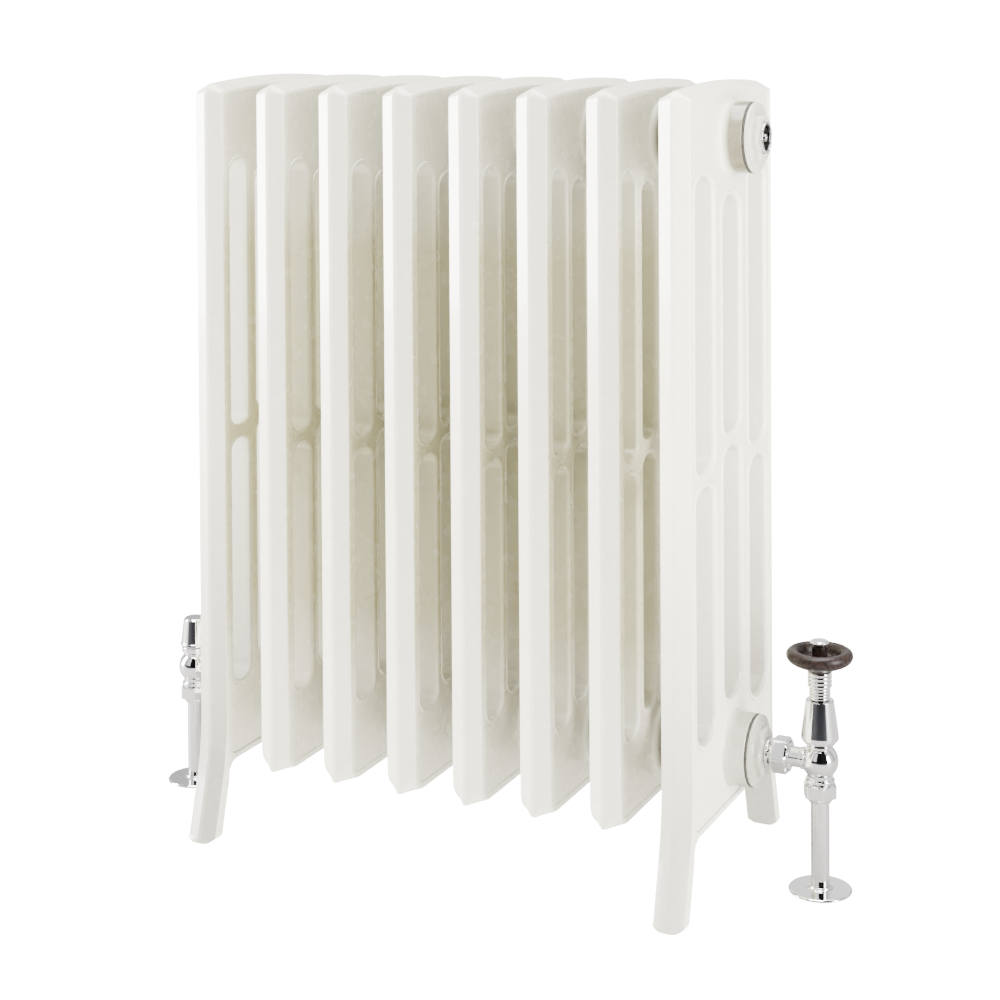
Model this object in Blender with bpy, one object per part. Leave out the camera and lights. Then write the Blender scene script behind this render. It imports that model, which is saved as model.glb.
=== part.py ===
"""Free-standing cast iron column radiator with a wheel-head angle valve and a lockshield valve.

Eight four-column sections stand in a row. The two end sections have legs. Nipples join the
sections through the top and bottom hubs, and bushings with gaskets close the end hubs.
The valves hang on the bottom end bushings, each on its own vertical pipe and floor plate.

Frame, in metres: the origin is on the floor at the centre of the row. +X runs along the row
towards the wheel-head valve, -Y is the front, +Z is up. Lengths below are written in MM.
"""

import math

import bmesh
import bpy
from mathutils import Matrix, Vector

MM = 0.001
GAP = 0.3 * MM

# The row of sections.
SECTIONS = 8
PITCH = 60 * MM
END_X = (SECTIONS - 1) / 2 * PITCH

# One section: a slab with a blunt ridge all along its front, top and back.
HALF_THICK = 13 * MM
RIDGE_HALF = 1.5 * MM
SIDE_Y = 99.5 * MM
SIDE_TOP = 638 * MM
ARCH_RADIUS = 1100 * MM
CORNER = 4 * MM
RIDGE_CORNER = 11 * MM
NOSE = 5 * MM
TOP_NOSE = 6.5 * MM
MID_BOTTOM = 63 * MM
END_BOTTOM = 61 * MM

# Legs of the end sections: an arc outwards, then a straight foot.
FLARE_TOP = 105 * MM
FLARE_RADIUS = 220 * MM
FLARE_ANGLE = math.radians(15.8)
LEG_DEPTH = 11.5 * MM
LEG_FILLET = 12 * MM

# Slots between the columns. Their ends are half-ellipses, which are flatter beside the bridges.
# The right end section has three wide slots, and all the others have four narrow ones.
# A slot is (centre y, lowest z, bridge z, highest z), and a waterway in a column is (near y, far y).
BRIDGE_HALF = 6.3 * MM
WIDE_SLOTS = {
    "half": 21 * MM,
    "end": 14.5 * MM,
    "bridge_end": 10.5 * MM,
    "slots": (
        (-64.5 * MM, 129 * MM, 334.5 * MM, 572 * MM),
        (0.0, 146 * MM, 355 * MM, 552 * MM),
        (64.5 * MM, 129 * MM, 334.5 * MM, 572 * MM),
    ),
    "water": ((-97 * MM, -89.5 * MM), (-39 * MM, -25.5 * MM), (25.5 * MM, 39 * MM), (89.5 * MM, 97 * MM)),
}
NARROW_SLOTS = {
    "half": 14.3 * MM,
    "end": 10.5 * MM,
    "bridge_end": 8.5 * MM,
    "slots": (
        (-72 * MM, 126 * MM, 340.5 * MM, 574 * MM),
        (-31 * MM, 138 * MM, 350 * MM, 563.5 * MM),
        (31 * MM, 138 * MM, 350 * MM, 563.5 * MM),
        (72 * MM, 126 * MM, 340.5 * MM, 574 * MM),
    ),
    "water": (
        (-97 * MM, -89.5 * MM),
        (-54.5 * MM, -48.5 * MM),
        (-13 * MM, 13 * MM),
        (48.5 * MM, 54.5 * MM),
        (89.5 * MM, 97 * MM),
    ),
}

# Hubs, and the waterways inside a section.
HUB_BOTTOM = 104 * MM
HUB_TOP = 599 * MM
HUB_RADIUS = 29 * MM
BORE = 20 * MM
WATER_HALF = 8.5 * MM
WATER_Y = 92 * MM
TOP_WATER = (578 * MM, 630.5 * MM)
BOTTOM_WATER = (68 * MM, 121 * MM)
NIPPLE_HALF = 18 * MM
IN_BORE = BORE - 1 * MM

# End bushings, measured outwards from the end of a hub.
HUB_END = END_X + PITCH / 2
GASKET = 1.2 * MM
FLANGE = 3 * MM
BUSH_HEX = 5.5 * MM
BUSH_FLATS = 35.5 * MM
BUSH_FACE = HUB_END + GAP + GASKET + GAP + FLANGE + BUSH_HEX
SPIGOT_END = HUB_END - 16 * MM
TAIL_BORE = 10.3 * MM
VENT_BORE = 13 * MM

# Valves: the centre of the ball, and levels on its vertical axis.
VALVE_X = END_X + 84 * MM
BALL = 14.8 * MM
SEAT = HUB_BOTTOM - 3 * MM
STEM_TRAVEL = 3.3 * MM
STEM = 3 * MM
STEM_HOLE = 3.3 * MM
PIPE = 7.5 * MM
PIPE_TOP = 88 * MM
NUT_TURN = math.radians(25)
UPPER_NECK = 9.8 * MM
NECK_CLEAR = UPPER_NECK + GAP
THREAD_TOP = 126.5 * MM
BONNET_BOTTOM = 116.3 * MM
BONNET_TOP = 153 * MM
SKIRT_BOTTOM = 163.2 * MM
WHEEL_BOTTOM = 176 * MM
CAP_BOTTOM = 196 * MM

# Sides of a turned solid: round pieces, small or hidden ones, hexagons and squares.
ROUND = 16
SMALL_ROUND = 12
HEX_ROUND = 12
SQUARE_ROUND = 8


def clear_scene():
    for obj in list(bpy.data.objects):
        bpy.data.objects.remove(obj)


def material(name, colour, roughness, metallic):
    made = bpy.data.materials.get(name)
    if made is None:
        made = bpy.data.materials.new(name)
        made.use_nodes = True
        shader = made.node_tree.nodes["Principled BSDF"]
        shader.inputs["Base Color"].default_value = (*colour, 1.0)
        shader.inputs["Roughness"].default_value = roughness
        shader.inputs["Metallic"].default_value = metallic
        made.diffuse_color = (*colour, 1.0)
    return made


def paint():
    return material("warm_white_enamel", (0.86, 0.84, 0.78), 0.25, 0.0)


def chrome():
    return material("chrome", (0.86, 0.86, 0.88), 0.08, 1.0)


def walnut():
    return material("walnut", (0.12, 0.06, 0.04), 0.4, 0.0)


def rubber():
    return material("rubber", (0.05, 0.045, 0.04), 0.7, 0.0)


def brass():
    return material("brass", (0.70, 0.52, 0.22), 0.3, 1.0)


def steel():
    return material("nipple_steel", (0.42, 0.41, 0.40), 0.45, 1.0)


def new_object(name, bm, made_of=None):
    bmesh.ops.recalc_face_normals(bm, faces=bm.faces)
    mesh = bpy.data.meshes.new(name)
    bm.to_mesh(mesh)
    bm.free()
    obj = bpy.data.objects.new(name, mesh)
    bpy.context.scene.collection.objects.link(obj)
    if made_of is not None:
        mesh.materials.append(made_of)
    return obj


def round_shading(obj):
    obj.data.shade_smooth()
    obj.data.set_sharp_from_angle(angle=math.radians(35))


def along_x(x, z, side=1):
    """Places a turned piece with its own +Z along +X, or along -X when side is -1."""
    return Matrix.Translation((side * x, 0, z)) @ Matrix.Rotation(side * math.pi / 2, 4, "Y")


def upright(x, side=1):
    """Places a turned piece on a vertical axis; a left-hand piece is turned by half a turn."""
    turn = 0.0 if side > 0 else math.pi
    return Matrix.Translation((side * x, 0, 0)) @ Matrix.Rotation(turn, 4, "Z")


def flats_radius(angle, flats, corners):
    """Distance from the axis to a regular prism's wall, whose first flat faces angle 0."""
    step = 2 * math.pi / corners
    off = (angle + step / 2) % step - step / 2
    return flats / 2 / math.cos(off)


def turned(profile, segments=ROUND, flats=None, corners=6, closed=True, place=None):
    """Spins (radius, height) points about Z. With flats, no point stands outside that prism.

    A closed profile is a ring. An open one is solid, and its first and last points get flat ends.
    """
    bm = bmesh.new()
    rings = [[] for _ in profile]
    for i in range(segments):
        angle = 2 * math.pi * i / segments
        for ring, (r, h) in zip(rings, profile):
            reach = r if flats is None else min(r, flats_radius(angle, flats, corners))
            ring.append(bm.verts.new((reach * math.cos(angle), reach * math.sin(angle), h)))
    pairs = list(zip(rings, rings[1:]))
    if closed:
        pairs.append((rings[-1], rings[0]))
    else:
        bm.faces.new(rings[0])
        bm.faces.new(rings[-1])
    for near, far in pairs:
        for i in range(segments):
            after = (i + 1) % segments
            bm.faces.new((near[i], near[after], far[after], far[i]))
    if place is not None:
        bmesh.ops.transform(bm, matrix=place, verts=bm.verts)
    return bm


def turned_object(name, profile, place, made_of, **options):
    obj = new_object(name, turned(profile, **options), made_of)
    obj.matrix_world = place
    round_shading(obj)
    return obj


def tube(inner, outer, low, high):
    return [(inner, low), (outer, low), (outer, high), (inner, high)]


def rod(radius, low, high):
    return [(radius, low), (radius, high)]


def arc(centre, radius, start, end, steps, height=None):
    """Points on a circle in the YZ plane, angles in radians from +Y towards +Z.

    With a height of its own along Z, the circle is an ellipse.
    """
    tall = radius if height is None else height
    angles = [start + (end - start) * i / steps for i in range(steps + 1)]
    return [(centre[0] + radius * math.cos(a), centre[1] + tall * math.sin(a)) for a in angles]


def top_height(y):
    return SIDE_TOP - y * y / (2 * ARCH_RADIUS)


def top_corner(wide, corner, rise, steps):
    """An arched top that ends in a rounded corner, as (y, z) points from the middle to +Y."""
    flat_end = wide - corner
    points = [(y, top_height(y) + rise) for y in (0.0, flat_end / 2)]
    centre = (flat_end, top_height(flat_end) + rise - corner)
    return points + arc(centre, corner, math.pi / 2, 0, steps)


def shoulder_points():
    """Matching points of the side's top corner, which is tight, and of the ridge's, which is wide."""
    side = top_corner(SIDE_Y, CORNER, 0.0, 3)
    ridge = top_corner(SIDE_Y + NOSE, RIDGE_CORNER, TOP_NOSE, 3)
    return list(zip(side, ridge))


def leg_points():
    """The leg's outer edge, foot and inner edge, going down from the straight side."""
    centre_y = SIDE_Y + FLARE_RADIUS
    outer = []
    for i in range(4):
        turn = FLARE_ANGLE * i / 3
        outer.append((centre_y - FLARE_RADIUS * math.cos(turn), FLARE_TOP - FLARE_RADIUS * math.sin(turn)))
    last_y, last_z = outer[-1]
    foot_y = last_y + last_z * math.tan(FLARE_ANGLE)
    outer.append((foot_y, 0.0))
    points = [(p, (p[0] + NOSE, p[1])) for p in outer]
    inner = [(foot_y - LEG_DEPTH, 0.0), (last_y - LEG_DEPTH, last_z)]
    centre = (inner[-1][0] - LEG_FILLET, END_BOTTOM - LEG_FILLET)
    inner += arc(centre, LEG_FILLET, math.pi / 6, math.pi / 2, 2)
    points += [(p, p) for p in inner]
    return points


def nib_points():
    """The bottom corner of a section without legs: rounded at the sides, with a nib at the ridge."""
    side = ((0, 16), (-4.7, 4.7), (-16, 0), (-20, 0))
    ridge = ((NOSE / MM, 3), (NOSE / MM - 1, -0.9), (-4, -0.9), (-20, 0))
    corner = Vector((SIDE_Y, MID_BOTTOM))
    return [tuple(tuple(corner + Vector(point) * MM) for point in pair) for pair in zip(side, ridge)]


def section_outline(with_legs):
    """Matching side and ridge outlines of a section in the YZ plane, all the way round."""
    half = shoulder_points()
    half += leg_points() if with_legs else nib_points()
    mirrored = [((-s[0], s[1]), (-r[0], r[1])) for s, r in reversed(half[1:])]
    return half + mirrored


def loft(bm, loops):
    """Closes a solid through matching loops of points: a wall between neighbours, and two caps."""
    rings = [[bm.verts.new(point) for point in loop] for loop in loops]
    for near, far in zip(rings, rings[1:]):
        for i in range(len(near)):
            after = (i + 1) % len(near)
            bm.faces.new((near[i], near[after], far[after], far[i]))
    bm.faces.new(rings[0])
    bm.faces.new(rings[-1])


def slab(with_legs):
    """The slab between the two side faces, with its blunt ridge."""
    bm = bmesh.new()
    outline = section_outline(with_legs)
    layers = ((-HALF_THICK, 0), (-RIDGE_HALF, 1), (RIDGE_HALF, 1), (HALF_THICK, 0))
    loft(bm, [[(x, *pair[which]) for pair in outline] for x, which in layers])
    walls = [face for face in bm.faces if len(face.verts) == 4]
    bmesh.ops.triangulate(bm, faces=walls)
    return bm


def slot_cutter(pattern):
    """Round-ended prisms: two for each slot, with the bridge left between them."""
    bm = bmesh.new()
    reach = HALF_THICK + 5 * MM
    half, end, bridge_end = pattern["half"], pattern["end"], pattern["bridge_end"]
    for y, low, bridge, high in pattern["slots"]:
        under = (low, end, bridge - BRIDGE_HALF, bridge_end)
        over = (bridge + BRIDGE_HALF, bridge_end, high, end)
        for bottom, bottom_end, top, top_end in (under, over):
            outline = arc((y, top - top_end), half, 0, math.pi, 4, top_end)
            outline += arc((y, bottom + bottom_end), half, math.pi, 2 * math.pi, 4, bottom_end)
            loft(bm, [[(x, *point) for point in outline] for x in (-reach, reach)])
    return bm


def box(low, high):
    bm = bmesh.new()
    bmesh.ops.create_cube(bm, size=1.0)
    for v in bm.verts:
        v.co = Vector((lo + (hi - lo) * (c + 0.5) for lo, hi, c in zip(low, high, v.co)))
    return bm


def cylinder_x(radius, half_length, z, segments):
    profile = rod(radius, -half_length, half_length)
    return turned(profile, segments=segments, closed=False, place=along_x(0, z))


def combine(target, bm, operation):
    """Applies one exact Boolean of bm's shape to target and removes the helper object."""
    helper = new_object("helper", bm)
    modifier = target.modifiers.new("combine", "BOOLEAN")
    modifier.operation = operation
    modifier.solver = "EXACT"
    modifier.object = helper
    bpy.context.view_layer.update()
    graph = bpy.context.evaluated_depsgraph_get()
    result = bpy.data.meshes.new_from_object(target.evaluated_get(graph))
    target.modifiers.clear()
    target.data = result
    bpy.data.objects.remove(helper)


def section_mesh(with_legs, pattern):
    """A whole casting: slab, hubs, slots, and the waterways that open through the hubs."""
    body = new_object("casting", slab(with_legs), paint())
    combine(body, slot_cutter(pattern), "DIFFERENCE")
    hub_half = PITCH / 2 - GAP / 2
    for z in (HUB_BOTTOM, HUB_TOP):
        combine(body, cylinder_x(HUB_RADIUS, hub_half, z, ROUND), "UNION")
    for z in (HUB_BOTTOM, HUB_TOP):
        combine(body, cylinder_x(BORE, PITCH, z, SMALL_ROUND), "DIFFERENCE")
    for low, high in (BOTTOM_WATER, TOP_WATER):
        water = box((-WATER_HALF, -WATER_Y, low), (WATER_HALF, WATER_Y, high))
        combine(body, water, "DIFFERENCE")
    narrow = WATER_HALF - 1.5 * MM
    for near, far in pattern["water"]:
        low, high = BOTTOM_WATER[0] + 5 * MM, TOP_WATER[1] - 5 * MM
        combine(body, box((-narrow, near, low), (narrow, far, high)), "DIFFERENCE")
    mesh = body.data
    bpy.data.objects.remove(body)
    return mesh


def place_sections():
    mid_mesh = section_mesh(False, NARROW_SLOTS)
    meshes = {f"mid_section_{i}": mid_mesh for i in range(1, SECTIONS - 1)}
    left, right = section_mesh(True, NARROW_SLOTS), section_mesh(True, WIDE_SLOTS)
    meshes = {"end_section_left": left, **meshes, "end_section_right": right}
    for i, (name, mesh) in enumerate(meshes.items()):
        obj = bpy.data.objects.new(name, mesh)
        bpy.context.scene.collection.objects.link(obj)
        obj.location = (i * PITCH - END_X, 0, 0)


def place_nipples():
    profile = tube(BORE - 4 * MM, IN_BORE, -NIPPLE_HALF, NIPPLE_HALF)
    for i in range(SECTIONS - 1):
        x = (i + 0.5) * PITCH - END_X
        for level, z in (("bottom", HUB_BOTTOM), ("top", HUB_TOP)):
            name = f"nipple_{level}_{i + 1}"
            turned_object(name, profile, along_x(x, z), steel(), segments=SMALL_ROUND)


def bush_profile(bore):
    """A reducing bushing: threaded spigot, round flange, hexagon. Heights are distances in X."""
    flange_back = HUB_END + GASKET + 2 * GAP
    hex_back = flange_back + FLANGE
    corner = BUSH_FLATS / 2 / math.cos(math.pi / 6)
    chamfer = 1.2 * MM
    outside = [
        (IN_BORE, SPIGOT_END),
        (IN_BORE, flange_back),
        (HUB_RADIUS - 0.5 * MM, flange_back),
        (HUB_RADIUS - 0.5 * MM, hex_back),
    ]
    root = hex_back - 1 * MM
    hexagon = [(corner, root), (corner, BUSH_FACE - chamfer), (BUSH_FLATS / 2, BUSH_FACE)]
    if bore is None:
        return outside, hexagon
    mouth = bore + 0.5 * MM
    around_bore = [(mouth, root)] + hexagon + [(mouth, BUSH_FACE)]
    return [(bore, SPIGOT_END)] + outside + [(bore, hex_back)], around_bore


def place_bush(name, side, z, bore):
    """The round part and the hexagon are two lofts that meet, so they are one Boolean union."""
    round_part, hexagon = bush_profile(bore)
    closed = bore is not None
    obj = new_object(name, turned(round_part, closed=closed), paint())
    nose = turned(hexagon, segments=HEX_ROUND, flats=BUSH_FLATS, closed=closed)
    combine(obj, nose, "UNION")
    obj.matrix_world = along_x(0, z, side)
    round_shading(obj)


def place_end_fittings():
    ends = (
        ("bottom_right", 1, HUB_BOTTOM, TAIL_BORE),
        ("bottom_left", -1, HUB_BOTTOM, TAIL_BORE),
        ("top_right", 1, HUB_TOP, VENT_BORE),
        ("top_left", -1, HUB_TOP, None),
    )
    for where, side, z, bore in ends:
        name = f"end_bush_{where}" if bore is not None else f"blank_plug_{where}"
        place_bush(name, side, z, bore)
        ring = tube(BORE + GAP, HUB_RADIUS - 0.8 * MM, HUB_END + GAP, HUB_END + GAP + GASKET)
        turned_object(f"bush_gasket_{where}", ring, along_x(0, z, side), rubber())


def place_vent():
    """A cup in the top right bushing, with a square-headed bleed screw in the cup's floor."""
    back, floor, front = BUSH_FACE - 13 * MM, BUSH_FACE - 6 * MM, BUSH_FACE + 2.2 * MM
    rim, wall = VENT_BORE - GAP, 1.7 * MM
    cup = [
        (STEM_HOLE, back),
        (rim, back),
        (rim, front),
        (rim - wall, front),
        (rim - wall, floor),
        (STEM_HOLE, floor),
    ]
    turned_object("vent_body", cup, along_x(0, HUB_TOP), chrome())
    screw = rod(STEM, back + 1 * MM, floor + 1 * MM)
    obj = new_object("vent_screw", turned(screw, segments=SMALL_ROUND, closed=False), chrome())
    head = rod(4.4 * MM, floor + GAP, front - 1.2 * MM)
    square = turned(head, segments=SQUARE_ROUND, flats=6 * MM, corners=4, closed=False)
    combine(obj, square, "UNION")
    shift = Matrix.Translation((0, 0, -floor))
    obj.data.transform(shift)
    obj.matrix_world = along_x(floor, HUB_TOP)
    round_shading(obj)


def place_union(prefix, side):
    """The tail that screws into the bushing, and the union nut that clamps it to the body."""
    face = BUSH_FACE + GAP
    nut_low, nut_high = HUB_END + 15.7 * MM, HUB_END + 29.4 * MM
    tail = [
        (6.5 * MM, HUB_END - 8 * MM),
        (TAIL_BORE - GAP, HUB_END - 8 * MM),
        (TAIL_BORE - GAP, face),
        (11.8 * MM, face),
        (11.8 * MM, nut_low - 1.8 * MM),
        (8.2 * MM, nut_low - 1.8 * MM),
        (8.2 * MM, nut_low + 3 * MM),
        (10.5 * MM, nut_low + 3 * MM),
        (10.5 * MM, nut_low + 5.9 * MM),
        (6.5 * MM, nut_low + 5.9 * MM),
    ]
    turned_object(f"{prefix}_tail", tail, along_x(0, HUB_BOTTOM, side), chrome())
    flats = 26.5 * MM
    corner = flats / 2 / math.cos(math.pi / 6)
    nut = [
        (8.6 * MM, nut_low),
        (flats / 2, nut_low),
        (corner, nut_low + 1.2 * MM),
        (corner, nut_high - 1.2 * MM),
        (flats / 2 - 0.6 * MM, nut_high),
        (11.2 * MM, nut_high),
        (11.2 * MM, nut_low + 2.7 * MM),
        (8.6 * MM, nut_low + 2.7 * MM),
    ]
    place = along_x(0, HUB_BOTTOM, side)
    options = {"segments": HEX_ROUND, "flats": flats}
    turned_object(f"{prefix}_union_nut", nut, place, chrome(), **options)


def place_body(prefix, side):
    """The ball body: a spigot to the radiator, a neck for the pipe, a neck for the bonnet."""
    low_neck = 10.4 * MM
    start, end = -math.acos(low_neck / BALL), math.acos(UPPER_NECK / BALL)
    ball = arc((0, HUB_BOTTOM), BALL, start, end, 6)
    outside = [
        (9.5 * MM, 78.3 * MM),
        (9.5 * MM, 87.3 * MM),
        (11.8 * MM, 87.3 * MM),
        (11.8 * MM, 90 * MM),
        (low_neck, 90.6 * MM),
        *ball,
        (UPPER_NECK, THREAD_TOP),
    ]
    obj = new_object(f"{prefix}_body", turned(outside, closed=False), chrome())
    neck_end, barrel_end = 24.3 * MM, 32.1 * MM
    spigot = [
        (8 * MM, 8 * MM),
        (8 * MM, neck_end),
        (10.5 * MM, neck_end),
        (10.5 * MM, barrel_end),
    ]
    port = rod(5.5 * MM, 0, barrel_end + 5 * MM)
    passage = [
        (PIPE + GAP, 70 * MM),
        (PIPE + GAP, PIPE_TOP + GAP),
        (5 * MM, PIPE_TOP + GAP),
        (5 * MM, SEAT),
        (8.5 * MM, SEAT),
        (8.5 * MM, THREAD_TOP + 5 * MM),
    ]
    sideways = along_x(0, HUB_BOTTOM, -1)
    combine(obj, turned(spigot, closed=False, place=sideways), "UNION")
    combine(obj, turned(passage, closed=False), "DIFFERENCE")
    combine(obj, turned(port, segments=SMALL_ROUND, closed=False, place=sideways), "DIFFERENCE")
    obj.matrix_world = upright(VALVE_X, side)
    round_shading(obj)


def place_pipe(body, pipe, side):
    """The compression nut, its olive, the vertical pipe and the floor plate under it."""
    place = upright(VALVE_X, side)
    olive = [(8 * MM, 75.8 * MM), (8.6 * MM, 75.8 * MM), (9.3 * MM, 76.9 * MM)]
    olive += [(8.6 * MM, 78 * MM), (8 * MM, 78 * MM)]
    turned_object(f"{body}_olive", olive, place, brass(), segments=SMALL_ROUND)
    flats = 24.6 * MM
    corner = flats / 2 / math.cos(math.pi / 6)
    nut = [
        (8 * MM, 72.2 * MM),
        (8.8 * MM, 72.2 * MM),
        (flats / 2, 75 * MM),
        (corner, 76 * MM),
        (corner, 85.6 * MM),
        (flats / 2, 86.6 * MM),
        (10.2 * MM, 86.6 * MM),
        (10.2 * MM, 75.5 * MM),
        (8 * MM, 75.5 * MM),
    ]
    options = {"segments": HEX_ROUND, "flats": flats}
    tightened = place @ Matrix.Rotation(NUT_TURN, 4, "Z")
    turned_object(f"{body}_compression_nut", nut, tightened, chrome(), **options)
    wall = 1 * MM
    turned_object(f"{pipe}_pipe", tube(PIPE - wall, PIPE, 0, PIPE_TOP), place, chrome())
    plate = [
        (PIPE + GAP, 0),
        (25.5 * MM, 0),
        (25.5 * MM, 1.4 * MM),
        (24.6 * MM, 2.3 * MM),
        (8.7 * MM, 2.7 * MM),
        (8.4 * MM, 4.6 * MM),
        (PIPE + GAP, 4.6 * MM),
    ]
    turned_object(f"{pipe}_floor_plate", plate, place, chrome())


def place_wheel_head():
    """Bonnet, gland, rising stem, seat washer, ribbed skirt, handwheel and cap."""
    place = upright(VALVE_X)
    bonnet = [
        (NECK_CLEAR, BONNET_BOTTOM),
        (11 * MM, BONNET_BOTTOM),
        (15.1 * MM, 121.6 * MM),
        (15.1 * MM, 124.6 * MM),
        (11.2 * MM, BONNET_TOP),
        (6.3 * MM, BONNET_TOP),
        (6.3 * MM, 146 * MM),
        (STEM_HOLE, 146 * MM),
        (STEM_HOLE, THREAD_TOP + 1 * MM),
        (NECK_CLEAR, THREAD_TOP + 1 * MM),
    ]
    turned_object("valve_bonnet", bonnet, place, chrome())
    gland = [
        (STEM_HOLE, 146.3 * MM),
        (6 * MM, 146.3 * MM),
        (6 * MM, BONNET_TOP + GAP),
        (8.6 * MM, BONNET_TOP + GAP),
        (8.6 * MM, 170 * MM),
        (STEM_HOLE, 170 * MM),
    ]
    turned_object("valve_gland", gland, place, chrome())
    washer_low = SEAT + STEM_TRAVEL
    washer_high = washer_low + 2.5 * MM
    washer = rod(6.8 * MM, washer_low, washer_high)
    turned_object("valve_washer", washer, place, rubber(), segments=SMALL_ROUND, closed=False)
    disc_high = washer_high + 3 * MM
    stem = [
        (7.2 * MM, washer_high + GAP),
        (7.2 * MM, disc_high),
        (STEM, disc_high),
        (STEM, WHEEL_BOTTOM + 12 * MM),
    ]
    turned_object("valve_spindle", stem, place, brass(), segments=SMALL_ROUND, closed=False)
    skirt_top = WHEEL_BOTTOM - GAP
    skirt = [
        (8.9 * MM, SKIRT_BOTTOM),
        (9.8 * MM, SKIRT_BOTTOM),
        (9.8 * MM, skirt_top),
        (STEM_HOLE, skirt_top),
        (STEM_HOLE, 170.6 * MM),
        (8.9 * MM, 170.6 * MM),
    ]
    turned_object("wheel_skirt", skirt, place, chrome())
    turned_object("handwheel", wheel_profile(), place, walnut(), segments=20, closed=False)
    cap = [
        (5.2 * MM, CAP_BOTTOM),
        (7.5 * MM, CAP_BOTTOM + 2.4 * MM),
        (7.5 * MM, CAP_BOTTOM + 3.4 * MM),
        (6.7 * MM, CAP_BOTTOM + 4.3 * MM),
    ]
    turned_object("wheel_cap", cap, place, chrome(), closed=False)


def wheel_profile():
    """A dished ring on a short boss, with a post in the middle and a blind hole for the stem."""
    base = WHEEL_BOTTOM
    return [
        (STEM_HOLE, base + 14 * MM),
        (STEM_HOLE, base),
        (10.2 * MM, base),
        (11 * MM, base + 2 * MM),
        (22 * MM, base + 5.6 * MM),
        (26.8 * MM, base + 10.4 * MM),
        (26.8 * MM, base + 13.4 * MM),
        (23.4 * MM, base + 17 * MM),
        (19 * MM, base + 17 * MM),
        (15.8 * MM, base + 13 * MM),
        (14.4 * MM, base + 8.4 * MM),
        (6.1 * MM, base + 8.4 * MM),
        (6.1 * MM, CAP_BOTTOM - GAP),
    ]


def place_lockshield_head():
    """Bonnet, key spindle, the plug that it drives, and the lift-off cap."""
    place = upright(VALVE_X, -1)
    bonnet = [
        (NECK_CLEAR, BONNET_BOTTOM),
        (11 * MM, BONNET_BOTTOM),
        (12.2 * MM, BONNET_BOTTOM + 1.4 * MM),
        (12.2 * MM, 122.6 * MM),
        (11.4 * MM, 122.6 * MM),
        (11.4 * MM, 129 * MM),
        (6 * MM, 131 * MM),
        (6 * MM, 138 * MM),
        (STEM_HOLE, 138 * MM),
        (STEM_HOLE, THREAD_TOP + 1 * MM),
        (NECK_CLEAR, THREAD_TOP + 1 * MM),
    ]
    turned_object("lockshield_bonnet", bonnet, place, chrome())
    plug_low = SEAT + STEM_TRAVEL
    plug = [
        (7.2 * MM, plug_low),
        (7.2 * MM, plug_low + 8 * MM),
        (STEM_HOLE, plug_low + 8 * MM),
        (STEM_HOLE, plug_low + 2 * MM),
    ]
    turned_object("lockshield_plug", plug, place, brass(), segments=SMALL_ROUND, closed=False)
    spindle = rod(STEM, plug_low + 3 * MM, 139 * MM)
    obj = new_object("lockshield_spindle", turned(spindle, segments=SMALL_ROUND, closed=False), brass())
    key = rod(4 * MM, 138.3 * MM, 143.5 * MM)
    square = turned(key, segments=SQUARE_ROUND, flats=5.5 * MM, corners=4, closed=False)
    combine(obj, square, "UNION")
    obj.matrix_world = place
    round_shading(obj)
    cap_low, cap_high = 123 * MM, 148.2 * MM
    cap = [
        (7.6 * MM, cap_high - 3 * MM),
        (8.6 * MM, 131.6 * MM),
        (11.9 * MM, 130.6 * MM),
        (11.9 * MM, cap_low),
        (13 * MM, cap_low),
        (13.4 * MM, cap_low + 0.8 * MM),
        (10.2 * MM, cap_high - 1 * MM),
        (9.2 * MM, cap_high),
    ]
    turned_object("lockshield_cap", cap, place, chrome(), closed=False)


def main():
    clear_scene()
    place_sections()
    place_nipples()
    place_end_fittings()
    place_vent()
    for prefix, pipe, side in (("valve", "supply", 1), ("lockshield", "return", -1)):
        place_union(prefix, side)
        place_body(prefix, side)
        place_pipe(prefix, pipe, side)
    place_wheel_head()
    place_lockshield_head()


main()
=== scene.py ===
"""Looks for the cast iron radiator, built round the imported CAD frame.

The castings, fittings and valves are rebuilt here with rounded edges and procedural finishes.
Their places come from the frame's own boxes. Lengths are in metres, but the (radius, height)
profiles of the fittings are in millimetres, and from_base makes them metres.
"""

import math

import bmesh
import bpy
from mathutils import Matrix, Vector


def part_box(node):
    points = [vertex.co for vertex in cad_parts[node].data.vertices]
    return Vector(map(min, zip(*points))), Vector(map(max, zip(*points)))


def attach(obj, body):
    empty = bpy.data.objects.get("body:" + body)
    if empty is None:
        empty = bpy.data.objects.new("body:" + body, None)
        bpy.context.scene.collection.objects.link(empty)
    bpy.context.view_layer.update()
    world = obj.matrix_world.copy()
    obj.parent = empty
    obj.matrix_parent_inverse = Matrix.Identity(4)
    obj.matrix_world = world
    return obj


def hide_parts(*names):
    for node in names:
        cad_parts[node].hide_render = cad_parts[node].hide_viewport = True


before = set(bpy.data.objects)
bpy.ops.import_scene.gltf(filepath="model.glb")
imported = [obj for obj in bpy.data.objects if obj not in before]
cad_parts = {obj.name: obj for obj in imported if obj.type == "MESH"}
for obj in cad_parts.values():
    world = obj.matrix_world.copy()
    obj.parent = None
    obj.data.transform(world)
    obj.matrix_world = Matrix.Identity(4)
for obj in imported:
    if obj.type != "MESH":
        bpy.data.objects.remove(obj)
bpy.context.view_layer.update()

MM = 0.001
RIGHT, LEFT = 1, -1


def low(node):
    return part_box(node)[0]


def high(node):
    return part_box(node)[1]


def middle(node):
    return (low(node) + high(node)) / 2


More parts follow.
